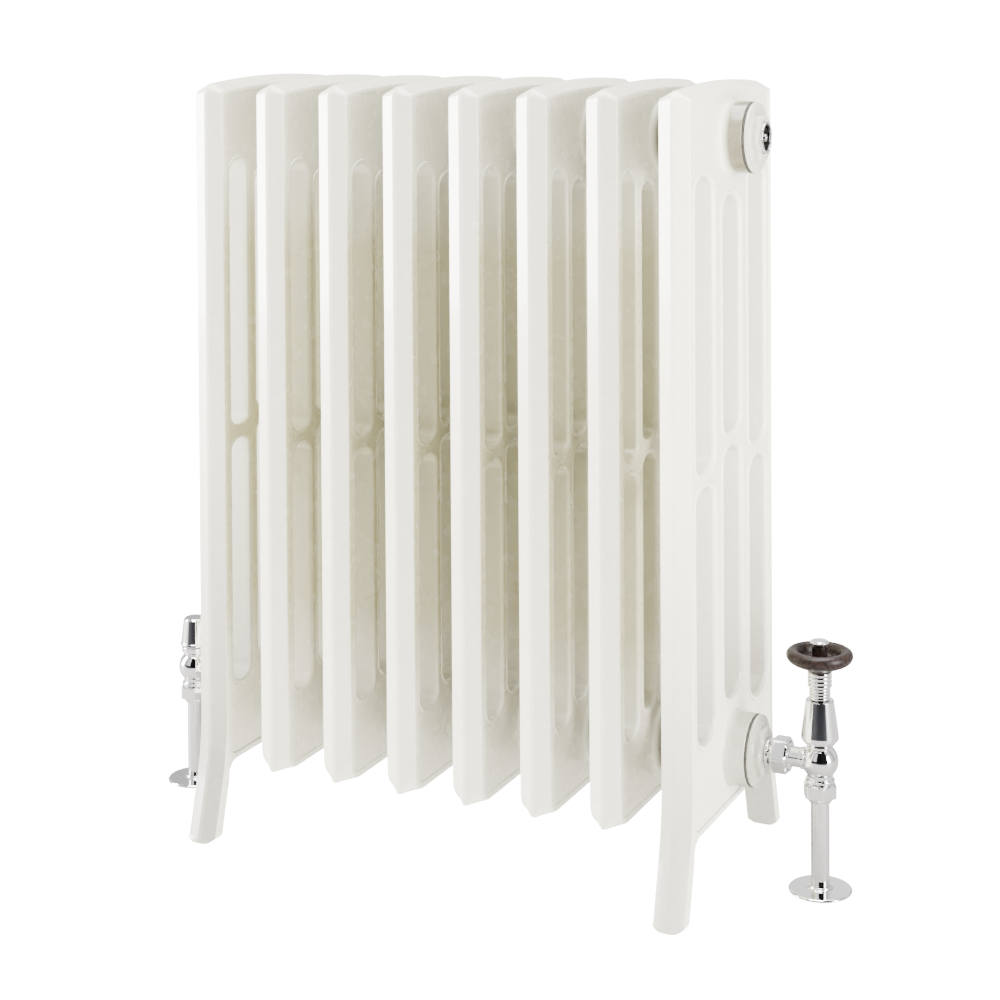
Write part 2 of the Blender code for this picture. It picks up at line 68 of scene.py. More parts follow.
# Where the CAD puts things.
PITCH = middle("mid_section_2").x - middle("mid_section_1").x
END_X = middle("end_section_right").x
HUB_LENGTH = high("end_section_right").x - END_X
HUB_BOTTOM = middle("nipple_bottom_1").z
HUB_TOP = middle("nipple_top_1").z
HUB_END = END_X + PITCH / 2
BUSH_FACE = high("end_bush_bottom_right").x
VALVE_X = middle("supply_pipe").x
NIB_BOTTOM = low("mid_section_1").z

# A casting's own shape.
HALF_THICK = 13 * MM
RIDGE_HALF = 1.5 * MM
SIDE_Y = 99.5 * MM
SIDE_TOP = 638 * MM
ARCH_RADIUS = 1100 * MM
CORNER = 4 * MM
RIDGE_CORNER = 11 * MM
PLAIN_CORNER = 16 * MM
NOSE = 5 * MM
TOP_NOSE = 6.5 * MM
END_BOTTOM = 61 * MM
MID_BOTTOM = 63 * MM
FLARE_TOP = 105 * MM
FLARE_RADIUS = 220 * MM
FLARE_ANGLE = math.radians(15.8)
LEG_DEPTH = 11.5 * MM
LEG_FILLET = 12 * MM
FOOT_STEPS = (5 * MM, 2.5 * MM, 0.0)
SOLE_HEIGHT = 4 * MM
SOLE_HALF = 7.5 * MM
SOLE_SLOPE = 0.62
STRAIGHT_Z = 400 * MM
PANEL_X = 11.9 * MM
PANEL_RISE = 5 * MM
RIM_X = 12.7 * MM
BRIDGE_HALF = 6.3 * MM
WIDE_SLOTS = {
    "half": 21 * MM,
    "end": 14.5 * MM,
    "bridge_end": 10.5 * MM,
    "rim": 6.2 * MM,
    "slots": (
        (-64.5 * MM, 129 * MM, 334.5 * MM, 572 * MM),
        (0.0, 146 * MM, 355 * MM, 552 * MM),
        (64.5 * MM, 129 * MM, 334.5 * MM, 572 * MM),
    ),
}
NARROW_SLOTS = {
    "half": 14.3 * MM,
    "end": 10.5 * MM,
    "bridge_end": 8.5 * MM,
    "rim": 4.4 * MM,
    "slots": (
        (-72 * MM, 126 * MM, 340.5 * MM, 574 * MM),
        (-31 * MM, 138 * MM, 350 * MM, 563.5 * MM),
        (31 * MM, 138 * MM, 350 * MM, 563.5 * MM),
        (72 * MM, 126 * MM, 340.5 * MM, 574 * MM),
    ),
}
HUB_RADIUS = 29 * MM
BORE = 20 * MM

# The fittings, with radii in the millimetres of their profiles.
NUT_TURN = math.radians(25)
STEM_HOLE = 3.4
WATERWAY = 6.5


# ---------------------------------------------------------------- shaping helpers


def rounded(points, steps=4):
    """Rounds the corners of an open polyline of (a, b) or (a, b, radius) points."""
    flat = [Vector(p[:2]) for p in points]
    result = [tuple(flat[0])]
    for i in range(1, len(flat) - 1):
        radius = points[i][2] if len(points[i]) > 2 else 0
        corner = flat[i]
        back, ahead = flat[i - 1] - corner, flat[i + 1] - corner
        turn = back.angle(ahead)
        if radius <= 0 or turn > math.radians(178):
            result.append(tuple(corner))
            continue
        cut = min(radius / math.tan(turn / 2), 0.48 * back.length, 0.48 * ahead.length)
        start, end = corner + back.normalized() * cut, corner + ahead.normalized() * cut
        centre = corner + (back.normalized() + ahead.normalized()).normalized() * cut / math.cos(turn / 2)
        sweep = math.pi - turn
        for k in range(steps + 1):
            t = k / steps
            near = math.sin((1 - t) * sweep) / math.sin(sweep)
            far = math.sin(t * sweep) / math.sin(sweep)
            result.append(tuple(centre + (start - centre) * near + (end - centre) * far))
    result.append(tuple(flat[-1]))
    return result


def smooth_curve(points, steps=5):
    """A Catmull-Rom curve through (a, b) points."""
    flat = [Vector(p) for p in points]
    result = []
    for i in range(len(flat) - 1):
        before, start = flat[max(i - 1, 0)], flat[i]
        end, after = flat[i + 1], flat[min(i + 2, len(flat) - 1)]
        for k in range(steps):
            t = k / steps
            bend = 2 * start + (end - before) * t
            bend += (2 * before - 5 * start + 4 * end - after) * t * t
            bend += (3 * start - before - 3 * end + after) * t**3
            result.append(tuple(bend / 2))
    result.append(tuple(flat[-1]))
    return result


def arc(centre, radius, start, end, steps, height=None):
    """Points on a circle, or on an ellipse that reaches a height of its own along the second axis."""
    tall = radius if height is None else height
    angles = [start + (end - start) * i / steps for i in range(steps + 1)]
    return [(centre[0] + radius * math.cos(a), centre[1] + tall * math.sin(a)) for a in angles]


def inset(outline, distance):
    """Moves a closed clockwise outline inwards, with limited mitres."""
    count = len(outline)
    result = []
    for i in range(count):
        before, here, after = (Vector(outline[k % count]) for k in (i - 1, i, i + 1))
        first, second = (here - before).normalized(), (after - here).normalized()
        normals = Vector((first.y, -first.x)), Vector((second.y, -second.x))
        across = (normals[0] + normals[1]).normalized()
        stretch = 1 / max(across.dot(normals[0]), 0.6)
        result.append(tuple(here + across * distance * stretch))
    return result


def add_ring(bm, points):
    return [bm.verts.new(point) for point in points]


def bridge(bm, near, far):
    for i in range(len(near)):
        after = (i + 1) % len(near)
        bm.faces.new((near[i], near[after], far[after], far[i]))


def ring_edges(bm, ring):
    bm.edges.ensure_lookup_table()
    return [bm.edges.get((ring[i], ring[(i + 1) % len(ring)])) for i in range(len(ring))]


def prism_reach(angle, radius, flats, corners, hardness=70):
    """Distance to the wall of a soft-cornered prism that is also no wider than radius."""
    total = radius**-hardness
    for k in range(corners):
        facing = math.cos(angle - 2 * math.pi * k / corners)
        if facing > 0:
            total += (facing / (flats / 2)) ** hardness
    return total ** (-1 / hardness)


def spun(profile, segments, closed=False, flats=None, corners=6):
    """Spins (radius, height) points about Z. With flats, it is trimmed to a soft-cornered prism."""
    bm = bmesh.new()
    rings = []
    for radius, height in profile:
        points = []
        for i in range(segments):
            angle = 2 * math.pi * i / segments
            reach = radius if flats is None else prism_reach(angle, radius, flats, corners)
            points.append((reach * math.cos(angle), reach * math.sin(angle), height))
        rings.append(add_ring(bm, points))
    for near, far in zip(rings, rings[1:]):
        bridge(bm, near, far)
    if closed:
        bridge(bm, rings[-1], rings[0])
    else:
        bm.faces.new(rings[0])
        bm.faces.new(rings[-1])
    return bm


def mesh_from(bm, name):
    mesh = bpy.data.meshes.new(name)
    bm.to_mesh(mesh)
    bm.free()
    return mesh


def added(name, data):
    """A new object in the scene."""
    obj = bpy.data.objects.new(name, data)
    bpy.context.scene.collection.objects.link(obj)
    return obj


def joined(*parts):
    """One bmesh from several; each part is a bmesh or a (bmesh, matrix) pair."""
    whole = bmesh.new()
    for part in parts:
        bm, place = part if isinstance(part, tuple) else (part, Matrix.Identity(4))
        bmesh.ops.recalc_face_normals(bm, faces=bm.faces)
        bmesh.ops.transform(bm, matrix=place, verts=bm.verts)
        scratch = mesh_from(bm, "scratch")
        whole.from_mesh(scratch)
        bpy.data.meshes.remove(scratch)
    return whole


def from_base(base, points):
    """Profile points in metres, from points in millimetres with heights counted from a base."""
    return [(radius * MM, base + height * MM, *(r * MM for r in soft)) for radius, height, *soft in points]


def across_corners(flats):
    """The outer radius of a hexagon."""
    return flats / 2 / math.cos(math.pi / 6)


def along_x(z, side=RIGHT):
    """Places a spun piece with its own +Z along +X, or along -X at the left."""
    return Matrix.Translation((0, 0, z)) @ Matrix.Rotation(side * math.pi / 2, 4, "Y")


def upright(side=RIGHT):
    """Places a spun piece on a valve's vertical axis."""
    turn = 0.0 if side > 0 else math.pi
    return Matrix.Translation((side * VALVE_X, 0, 0)) @ Matrix.Rotation(turn, 4, "Z")


def finished(mesh, sharp):
    mesh.shade_smooth()
    mesh.set_sharp_from_angle(angle=math.radians(sharp))


def piece(name, source, material, node, place, body="radiator"):
    """Adds a piece that stands for a CAD node, from a bmesh or from a mesh shared with others."""
    if isinstance(source, bmesh.types.BMesh):
        bmesh.ops.recalc_face_normals(source, faces=source.faces)
        mesh = mesh_from(source, name)
        finished(mesh, sharp=40)
        mesh.materials.append(material)
    else:
        mesh = source
    obj = added(name, mesh)
    obj.matrix_world = place
    weighted = obj.modifiers.new("even shading", "WEIGHTED_NORMAL")
    weighted.keep_sharp = True
    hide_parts(node)
    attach(obj, body)


# ---------------------------------------------------------------- materials

WHITE = (0.64, 0.62, 0.5)
OFF_WHITE = (0.625, 0.605, 0.485)
SMOOTH = (0.6, 0.575, 0.47)
MACHINED = (0.58, 0.555, 0.45)
# Painted shade: the dark beige on the walls of the hubs.
HUB_SHADE_PAINT = (0.12, 0.109, 0.068)
# Painted shade low on the sloping facets of the end castings.
LOW_FACET_SHADE_PAINT = (0.33, 0.315, 0.26)
# Painted shade in the gaps between the sections.
GAP_SHADE_PAINT = (0.43, 0.405, 0.25)
CHROME_TINT = (0.86, 0.85, 0.855)
DEEP_SHADE = (0.03, 0.03, 0.032)

# Where the painted shade fades into the plain paint.
HUB_FADE = (14 * MM, 19 * MM)
ROW_FADE = (END_X - 12 * MM, END_X - 5 * MM)
DEPTH_FADE = (SIDE_Y - 1 * MM, SIDE_Y + 0.5 * MM)
GAP_MIDDLE = 350 * MM
GAP_FADE = (150 * MM, 225 * MM)
FEET_FADE = (60 * MM, 330 * MM)
END_FADE = (END_X - 25 * MM, END_X - 16 * MM)
FACET_FADE = (0.85, 0.97)


def new_material(name):
    material = bpy.data.materials.new(name)
    material.use_nodes = True
    nodes = material.node_tree.nodes
    return material, nodes, material.node_tree.links, nodes["Principled BSDF"]


def noise(nodes, links, vector, scale, detail=3.0, roughness=0.55, distortion=0.0):
    node = nodes.new("ShaderNodeTexNoise")
    node.inputs["Scale"].default_value = scale
    node.inputs["Detail"].default_value = detail
    node.inputs["Roughness"].default_value = roughness
    node.inputs["Distortion"].default_value = distortion
    links.new(vector, node.inputs["Vector"])
    return node.outputs["Fac"]


def ramp(nodes, links, value, stops):
    """A colour ramp with (position, colour) stops."""
    node = nodes.new("ShaderNodeValToRGB")
    elements = node.color_ramp.elements
    while len(elements) < len(stops):
        elements.new(0.5)
    for element, (position, colour) in zip(elements, stops):
        element.position = position
        element.color = (*colour, 1.0)
    links.new(value, node.inputs["Fac"])
    return node.outputs["Color"]


def spread(nodes, links, value, lowest, highest, source=(0.0, 1.0)):
    """Maps a 0 to 1 value, or the source range of it, onto lowest to highest."""
    node = nodes.new("ShaderNodeMapRange")
    node.inputs["From Min"].default_value = source[0]
    node.inputs["From Max"].default_value = source[1]
    node.inputs["To Min"].default_value = lowest
    node.inputs["To Max"].default_value = highest
    links.new(value, node.inputs["Value"])
    return node.outputs["Result"]


def math_node(nodes, links, operation, first, second):
    node = nodes.new("ShaderNodeMath")
    node.operation = operation
    for socket, value in zip(node.inputs, (first, second)):
        if isinstance(value, (int, float)):
            socket.default_value = value
        else:
            links.new(value, socket)
    return node.outputs["Value"]


def product(nodes, links, *factors):
    """The product of two or more values."""
    value = factors[0]
    for factor in factors[1:]:
        value = math_node(nodes, links, "MULTIPLY", value, factor)
    return value


def size_along(nodes, links, vector, axis):
    """How far a vector reaches along an axis, either way."""
    parts = nodes.new("ShaderNodeSeparateXYZ")
    links.new(vector, parts.inputs["Vector"])
    return math_node(nodes, links, "ABSOLUTE", parts.outputs[axis], 0)


def length(nodes, links, vector):
    node = nodes.new("ShaderNodeVectorMath")
    node.operation = "LENGTH"
    links.new(vector, node.inputs[0])
    return node.outputs["Value"]


def bump(nodes, links, height, strength, distance, below=None):
    node = nodes.new("ShaderNodeBump")
    node.inputs["Distance"].default_value = distance
    if isinstance(strength, (int, float)):
        node.inputs["Strength"].default_value = strength
    else:
        links.new(strength, node.inputs["Strength"])
    links.new(height, node.inputs["Height"])
    if below is not None:
        links.new(below, node.inputs["Normal"])
    return node.outputs["Normal"]


def place_in_piece(nodes, links):
    """Coordinates fixed to a piece, moved by a different amount for each piece."""
    coordinates = nodes.new("ShaderNodeTexCoord")
    info = nodes.new("ShaderNodeObjectInfo")
    shift = nodes.new("ShaderNodeVectorMath")
    shift.operation = "MULTIPLY_ADD"
    links.new(info.outputs["Random"], shift.inputs[0])
    shift.inputs[1].default_value = (3.1, 5.3, 7.7)
    links.new(coordinates.outputs["Object"], shift.inputs[2])
    return shift.outputs["Vector"]


def blend(nodes, links, factor, first, second):
    """Mixes two colours. Each is a socket or a plain colour."""
    node = nodes.new("ShaderNodeMix")
    node.data_type = "RGBA"
    links.new(factor, node.inputs["Factor"])
    for socket, value in ((node.inputs["A"], first), (node.inputs["B"], second)):
        if isinstance(value, tuple):
            socket.default_value = (*value, 1.0)
        else:
            links.new(value, socket)
    return node.outputs["Result"]


def shade_between_sections(nodes, links):
    """Where the painted shade goes: one on the surfaces that face the gaps between the sections, and zero on
    the outside.
    """
    position = nodes.new("ShaderNodeNewGeometry").outputs["Position"]
    along, deep = size_along(nodes, links, position, "X"), size_along(nodes, links, position, "Y")
    row = spread(nodes, links, along, 1, 0, source=ROW_FADE)
    inside = spread(nodes, links, deep, 1, 0, source=DEPTH_FADE)
    from_mid = math_node(nodes, links, "SUBTRACT", size_along(nodes, links, position, "Z"), GAP_MIDDLE)
    from_mid = math_node(nodes, links, "ABSOLUTE", from_mid, 0)
    tall = spread(nodes, links, from_mid, 1, 0, source=GAP_FADE)
    return product(nodes, links, row, inside, tall)


def low_facet_shade(nodes, links):
    """Where the painted shade goes: one at the feet, fading out half way up, on the sloping facets of the end
    castings only.
    """
    position = nodes.new("ShaderNodeNewGeometry").outputs["Position"]
    normal = nodes.new("ShaderNodeTexCoord").outputs["Normal"]
    sloping = spread(nodes, links, size_along(nodes, links, normal, "X"), 1, 0, source=FACET_FADE)
    low_down = spread(nodes, links, size_along(nodes, links, position, "Z"), 1, 0, source=FEET_FADE)
    along = size_along(nodes, links, position, "X")
    at_end = spread(nodes, links, along, 0, 1, source=END_FADE)
    return product(nodes, links, sloping, low_down, at_end)


def enamel(name, colour, shade, hub_shade, gap_shade, pebble):
    """Gloss enamel over sand-cast iron: pebbled on the flat sides, smoother on the rubbed-down noses.

    It has a darker beige of painted shade on the walls of the hubs and in the recesses of the row, and
    another low on the sloping facets of the end castings.
    """
    material, nodes, links, shader = new_material(name)
    where = place_in_piece(nodes, links)
    mottle = noise(nodes, links, where, 22.0, detail=4.0)
    tint = ramp(nodes, links, mottle, [(0.3, shade), (0.62, colour)])
    coordinates = nodes.new("ShaderNodeTexCoord")
    outward = size_along(nodes, links, coordinates.outputs["Object"], "X")
    # Painted shade on the walls of the hubs.
    at_hub = spread(nodes, links, outward, 0, 1, source=HUB_FADE)
    outside = blend(nodes, links, at_hub, tint, hub_shade)
    # Painted shade in the gaps between the sections, darkest half way up.
    whole = blend(nodes, links, shade_between_sections(nodes, links), outside, gap_shade)
    # Painted shade low on the sloping facets of the end castings.
    links.new(blend(nodes, links, low_facet_shade(nodes, links), whole, LOW_FACET_SHADE_PAINT), shader.inputs["Base Color"])
    gloss = noise(nodes, links, where, 60.0)
    links.new(spread(nodes, links, gloss, 0.24, 0.3), shader.inputs["Roughness"])
    shader.inputs["Coat Weight"].default_value = 0.35
    shader.inputs["Coat Roughness"].default_value = 0.07

    facing = size_along(nodes, links, coordinates.outputs["Normal"], "X")
    rough_side = spread(nodes, links, facing, pebble * 0.45, pebble, source=(0.55, 0.95))
    coarse = noise(nodes, links, where, 330.0, detail=2.5, roughness=0.5)
    fine = noise(nodes, links, where, 1100.0, detail=2.0)
    ripple = noise(nodes, links, where, 70.0, detail=2.0)
    soft = bump(nodes, links, ripple, pebble * 0.25, 0.5 * MM)
    grain = bump(nodes, links, coarse, rough_side, 0.5 * MM, below=soft)
    skin = bump(nodes, links, fine, pebble * 0.25, 0.12 * MM, below=grain)
    links.new(skin, shader.inputs["Normal"])
    return material


def metal(name, colour, roughness, scratch=0.04, ripple=0.03, shade_within=0.0):
    """Plated or machined metal with faint turning marks, smears and a slight waviness.

    Nearer to its own axis than the given radius, it has painted shade, dark as in the bottom of a cup.
    """
    material, nodes, links, shader = new_material(name)
    where = place_in_piece(nodes, links)
    shader.inputs["Metallic"].default_value = 1.0
    smear = noise(nodes, links, where, 120.0, detail=5.0, roughness=0.7, distortion=0.8)
    links.new(spread(nodes, links, smear, roughness * 0.5, roughness * 1.7), shader.inputs["Roughness"])
    darker = tuple(c * 0.93 for c in colour)
    plating = ramp(nodes, links, smear, [(0.35, darker), (0.65, colour)])
    plain = nodes.new("ShaderNodeTexCoord")
    flatten = nodes.new("ShaderNodeVectorMath")
    flatten.operation = "MULTIPLY"
    links.new(plain.outputs["Object"], flatten.inputs[0])
    flatten.inputs[1].default_value = (1.0, 1.0, 0.0)
    outward = length(nodes, links, flatten.outputs["Vector"])
    # Painted shade near the axis.
    cup_shade = spread(nodes, links, outward, 1, 0, source=(shade_within - 0.3 * MM, shade_within))
    links.new(blend(nodes, links, cup_shade, plating, DEEP_SHADE), shader.inputs["Base Color"])
    stretch = nodes.new("ShaderNodeMapping")
    stretch.inputs["Scale"].default_value = (1.0, 1.0, 14.0)
    links.new(where, stretch.inputs["Vector"])
    lines = noise(nodes, links, stretch.outputs["Vector"], 260.0, detail=3.0)
    waves = noise(nodes, links, where, 90.0, detail=1.0)
    wavy = bump(nodes, links, waves, ripple, 0.4 * MM)
    links.new(bump(nodes, links, lines, scratch, 0.05 * MM, below=wavy), shader.inputs["Normal"])
    return material


def walnut_finish():
    """Dark lacquered walnut, with its rings cut across by the turned shape."""
    material, nodes, links, shader = new_material("walnut")
    coordinates = nodes.new("ShaderNodeTexCoord")
    tilt = nodes.new("ShaderNodeMapping")
    tilt.inputs["Rotation"].default_value = (math.radians(86), math.radians(8), math.radians(24))
    tilt.inputs["Scale"].default_value = (1.0, 1.0, 0.16)
    links.new(coordinates.outputs["Object"], tilt.inputs["Vector"])
    grain_place = tilt.outputs["Vector"]
    rings = nodes.new("ShaderNodeTexWave")
    rings.wave_type = "RINGS"
    rings.rings_direction = "Z"
    rings.inputs["Scale"].default_value = 230.0
    rings.inputs["Distortion"].default_value = 5.5
    rings.inputs["Detail"].default_value = 3.0
    rings.inputs["Detail Scale"].default_value = 1.6
    links.new(grain_place, rings.inputs["Vector"])
    wood = ramp(
        nodes,
        links,
        rings.outputs["Fac"],
        [(0.1, (0.0075, 0.0038, 0.003)), (0.55, (0.012, 0.0062, 0.0048)), (0.95, (0.02, 0.0105, 0.008))],
    )
    pores = noise(nodes, links, grain_place, 2600.0, detail=2.0, roughness=0.7)
    specks = ramp(nodes, links, pores, [(0.36, (0.35, 0.33, 0.32)), (0.5, (1.0, 1.0, 1.0))])
    mix = nodes.new("ShaderNodeMix")
    mix.data_type = "RGBA"
    mix.blend_type = "MULTIPLY"
    mix.inputs["Factor"].default_value = 0.8
    links.new(wood, mix.inputs["A"])
    links.new(specks, mix.inputs["B"])
    links.new(mix.outputs["Result"], shader.inputs["Base Color"])
    links.new(spread(nodes, links, pores, 0.5, 0.3), shader.inputs["Roughness"])
    shader.inputs["Specular IOR Level"].default_value = 0.2
    links.new(bump(nodes, links, pores, 0.25, 0.08 * MM), shader.inputs["Normal"])
    return material


def rubber_finish():
    material, nodes, links, shader = new_material("rubber")
    where = place_in_piece(nodes, links)
    dust = noise(nodes, links, where, 400.0, detail=4.0)
    tint = ramp(nodes, links, dust, [(0.35, (0.03, 0.028, 0.026)), (0.7, (0.07, 0.065, 0.058))])
    links.new(tint, shader.inputs["Base Color"])
    links.new(spread(nodes, links, dust, 0.55, 0.85), shader.inputs["Roughness"])
    links.new(bump(nodes, links, dust, 0.3, 0.1 * MM), shader.inputs["Normal"])
    return material


# Its hub, gap and low facet colours are painted shade.
PAINT = enamel("warm_white_enamel", WHITE, OFF_WHITE, HUB_SHADE_PAINT, GAP_SHADE_PAINT, pebble=0.32)
BUSH_PAINT = enamel("warm_white_enamel_machined", SMOOTH, MACHINED, MACHINED, MACHINED, pebble=0.1)
CHROME = metal("chrome", CHROME_TINT, 0.045)
# Painted shade in the bottom of the vent's cup.
VENT_CHROME = metal("vent_chrome", CHROME_TINT, 0.045, shade_within=10.9 * MM)
BRASS = metal("brass", (0.72, 0.53, 0.23), 0.24, scratch=0.15)
STEEL = metal("nipple_steel", (0.44, 0.43, 0.41), 0.4, scratch=0.3)
WALNUT = walnut_finish()
RUBBER = rubber_finish()


# ---------------------------------------------------------------- castings


def top_height(y):
    return SIDE_TOP - y * y / (2 * ARCH_RADIUS)


def top_corner(wide, corner, rise):
    """An arched top that ends in a rounded corner, as (y, z) points from the middle to +Y."""
    flat_end = wide - corner
    points = []
    for i in range(8):
        y = flat_end * i / 8
        points.append((y, top_height(y) + rise))
    centre = (flat_end, top_height(flat_end) + rise - corner)
    return points + arc(centre, corner, math.pi / 2, 0, 12)


def shoulder():
    """The top corner as (side point, ridge point): the side's is tight, and the ridge's is wide."""
    side = top_corner(SIDE_Y, CORNER, 0.0) + [(SIDE_Y, STRAIGHT_Z)]
    ridge = top_corner(SIDE_Y + NOSE, RIDGE_CORNER, TOP_NOSE) + [(SIDE_Y + NOSE, STRAIGHT_Z)]
    return list(zip(side, ridge))


def leg():
    """The leg's outer edge, foot and inner edge, going down from the straight side."""
    centre_y = SIDE_Y + FLARE_RADIUS
    outer = []
    for i in range(11):
        turn = FLARE_ANGLE * i / 10
        outer.append((centre_y - FLARE_RADIUS * math.cos(turn), FLARE_TOP - FLARE_RADIUS * math.sin(turn)))
    last_y, last_z = outer[-1]
    slope = math.tan(FLARE_ANGLE)
    for z in FOOT_STEPS:
        outer.append((last_y + (last_z - z) * slope, z))
    points = [(p, (p[0] + NOSE, p[1])) for p in outer]
    foot_y = outer[-1][0] - LEG_DEPTH
    inner = [(foot_y - z * slope, z) for z in reversed(FOOT_STEPS)]
    inner.append((last_y - LEG_DEPTH, last_z))
    centre = (inner[-1][0] - LEG_FILLET, END_BOTTOM - LEG_FILLET)
    inner += arc(centre, LEG_FILLET, math.pi / 9, math.pi / 2, 6)
    return points + [(p, p) for p in inner]


def plain_end():
    """The bottom of a casting without legs: a rounded corner, and a blunt nib under the ridge."""
    turns = [math.pi / 2 * i / 6 for i in range(7)]
    wide = PLAIN_CORNER / MM
    side = [(wide * math.cos(t) - wide, wide - wide * math.sin(t)) for t in turns] + [(-17, 0), (-20, 0)]
    nose, nib = NOSE / MM, (MID_BOTTOM - NIB_BOTTOM) / MM
    ridge = [(nose - 2 + 2 * math.cos(t), 2 - nib - 2 * math.sin(t)) for t in turns]
    ridge += [(-2, -nib), (-20, 0)]
    corner = Vector((SIDE_Y, MID_BOTTOM))
    return [tuple(tuple(corner + Vector(point) * MM) for point in pair) for pair in zip(side, ridge)]


def on_nose(side, ridge, part):
    """A point between the side's edge and the ridge: nibs are hollowed, and soles are blunt."""
    out = part ** min(1.0, 0.4 + side[1] / (24 * MM))
    drop = part**2 if ridge[1] < side[1] else part
    return side[0] + (ridge[0] - side[0]) * out, side[1] + (ridge[1] - side[1]) * drop


def casting_outline(with_legs):
    half = shoulder() + (leg() if with_legs else plain_end())
    mirrored = [((-s[0], s[1]), (-r[0], r[1])) for s, r in reversed(half[1:])]
    return half + mirrored


def panel_ring(margin, bottom):
    """The sunk panel's outline at a margin inside the side's edge, clockwise from the top."""
    half = [side for side, _ in shoulder()]
    centre = (SIDE_Y - PLAIN_CORNER, bottom - margin + PLAIN_CORNER)
    half += arc(centre, PLAIN_CORNER, 0, -math.pi / 2, 10)
    whole = half + [(-y, z) for y, z in reversed(half[1:])]
    return inset(whole, margin)


def slot_outline(y, half, bottom, top, margin):
    """A slot's outline with half-ellipse ends. Each end is (z, height of the half-ellipse)."""
    reach = half + margin
    outline = arc((y, top[0] - top[1]), reach, 0, math.pi, 18, top[1] + margin)
    outline += arc((y, bottom[0] + bottom[1]), reach, math.pi, 2 * math.pi, 18, bottom[1] + margin)
    return outline


def hub_outline(z, radius):
    return arc((0.0, z), radius, 0, 2 * math.pi * 63 / 64, 63)


def rings_through(bm, outlines, heights):
    """Adds rings of (y, z) outlines at heights in X, joined one to the next."""
    rings = [add_ring(bm, [(x, *p) for p in points]) for points, x in zip(outlines, heights)]
    for near, far in zip(rings, rings[1:]):
        bridge(bm, near, far)
    return rings


def fill(bm, *rings):
    """Fills the flat area between rings."""
    edges = [edge for ring in rings for edge in ring_edges(bm, ring)]
    bmesh.ops.triangle_fill(bm, edges=edges, normal=(1, 0, 0), use_beauty=True)


def add_edge(bm, with_legs):
    """The nose and the rounded edge of the side face. Returns the ring where the flat side starts."""
    outline = casting_outline(with_legs)
    slope = (HALF_THICK - RIDGE_HALF) / NOSE
    facet = [(u, HALF_THICK - u * slope) for u in (0.8 * NOSE, 0.6 * NOSE, 0.4 * NOSE)]
    nose = [(NOSE, 0), (NOSE, RIDGE_HALF, 1.6 * MM)]
    brink = [(0, HALF_THICK, 1.4 * MM), (-1.6 * MM, HALF_THICK)]
    profile = rounded(nose + facet + brink)
    outlines, heights = [], []
    for u, x in profile:
        if u >= 0:
            ring = [on_nose(side, ridge, u / NOSE) for side, ridge in outline]
        else:
            ring = inset([side for side, _ in outline], -u)
        outlines.append(ring)
        heights.append(x)
    return rings_through(bm, outlines, heights)[-1]


def add_slot(bm, y, pattern, bottom, top):
    """A slot's wall, its rounded and raised rim, and the step down to the panel."""
    rim = pattern["rim"]
    soft = rim * 0.62
    step = [(soft, RIM_X), (rim * 0.8, RIM_X, 0.35 * MM), (rim * 0.9, PANEL_X, 0.3 * MM), (rim, PANEL_X)]
    profile = [(0, 0)] + arc((soft, RIM_X - soft), soft, math.pi, math.pi / 2, 7) + rounded(step, steps=3)[1:]
    outlines = [slot_outline(y, pattern["half"], bottom, top, margin) for margin, _ in profile]
    return rings_through(bm, outlines, [x for _, x in profile])[-1]


def add_hub(bm, z):
    """A hub: closed bore, machined end, wall, and the fillet that blends into the panel."""
    hub = [
        (BORE - 0.5 * MM, HUB_LENGTH - 18.4 * MM),
        (BORE, HUB_LENGTH, 0.6 * MM),
        (HUB_RADIUS, HUB_LENGTH, 0.8 * MM),
        (HUB_RADIUS, PANEL_X, 4.6 * MM),
        (HUB_RADIUS + 4.9 * MM, PANEL_X),
    ]
    profile = rounded(hub, steps=6)
    outlines = [hub_outline(z, radius) for radius, _ in profile]
    rings = rings_through(bm, outlines, [x for _, x in profile])
    bm.faces.new(rings[0])
    return rings[-1]


def bevel_feet(bm):
    """Takes the corners off the two sides of each foot."""
    for vert in bm.verts:
        if vert.co.z < SOLE_HEIGHT:
            lift = max(0.0, abs(vert.co.x) - SOLE_HALF) * SOLE_SLOPE
            vert.co.z = max(vert.co.z, lift)


def casting_mesh(name, with_legs, pattern):
    """A whole casting: one half is built on +X, then mirrored and welded at X = 0."""
    bottom = (END_BOTTOM if with_legs else MID_BOTTOM) + 2.4 * MM
    bm = bmesh.new()
    flat_edge = add_edge(bm, with_legs)
    soft = 0.4 * MM
    lip = [(2.2 * MM, HALF_THICK), (3.0 * MM, HALF_THICK, soft)]
    step = rounded(lip + [(3.5 * MM, PANEL_X, soft), (4.1 * MM, PANEL_X)], steps=3)
    start, last = step[0][0], step[-1][0]
    outlines = [panel_ring(m, bottom + (m - start) / (last - start) * PANEL_RISE) for m, _ in step]
    panel = rings_through(bm, outlines, [x for _, x in step])
    holes = [add_hub(bm, z) for z in (HUB_BOTTOM, HUB_TOP)]
    end, bridge_end = pattern["end"], pattern["bridge_end"]
    for y, lowest, bridge_z, highest in pattern["slots"]:
        holes.append(add_slot(bm, y, pattern, (lowest, end), (bridge_z - BRIDGE_HALF, bridge_end)))
        holes.append(add_slot(bm, y, pattern, (bridge_z + BRIDGE_HALF, bridge_end), (highest, end)))
    fill(bm, flat_edge, panel[0])
    fill(bm, panel[-1], *holes)
    if with_legs:
        bevel_feet(bm)
    geometry = bm.verts[:] + bm.edges[:] + bm.faces[:]
    copied = bmesh.ops.duplicate(bm, geom=geometry)["geom"]
    mirrored = [item for item in copied if isinstance(item, bmesh.types.BMVert)]
    bmesh.ops.scale(bm, vec=(-1, 1, 1), verts=mirrored)
    bmesh.ops.remove_doubles(bm, verts=bm.verts, dist=0.002 * MM)
    bmesh.ops.recalc_face_normals(bm, faces=bm.faces)
    mesh = mesh_from(bm, name)
    finished(mesh, sharp=50)
    mesh.materials.append(PAINT)
    return mesh


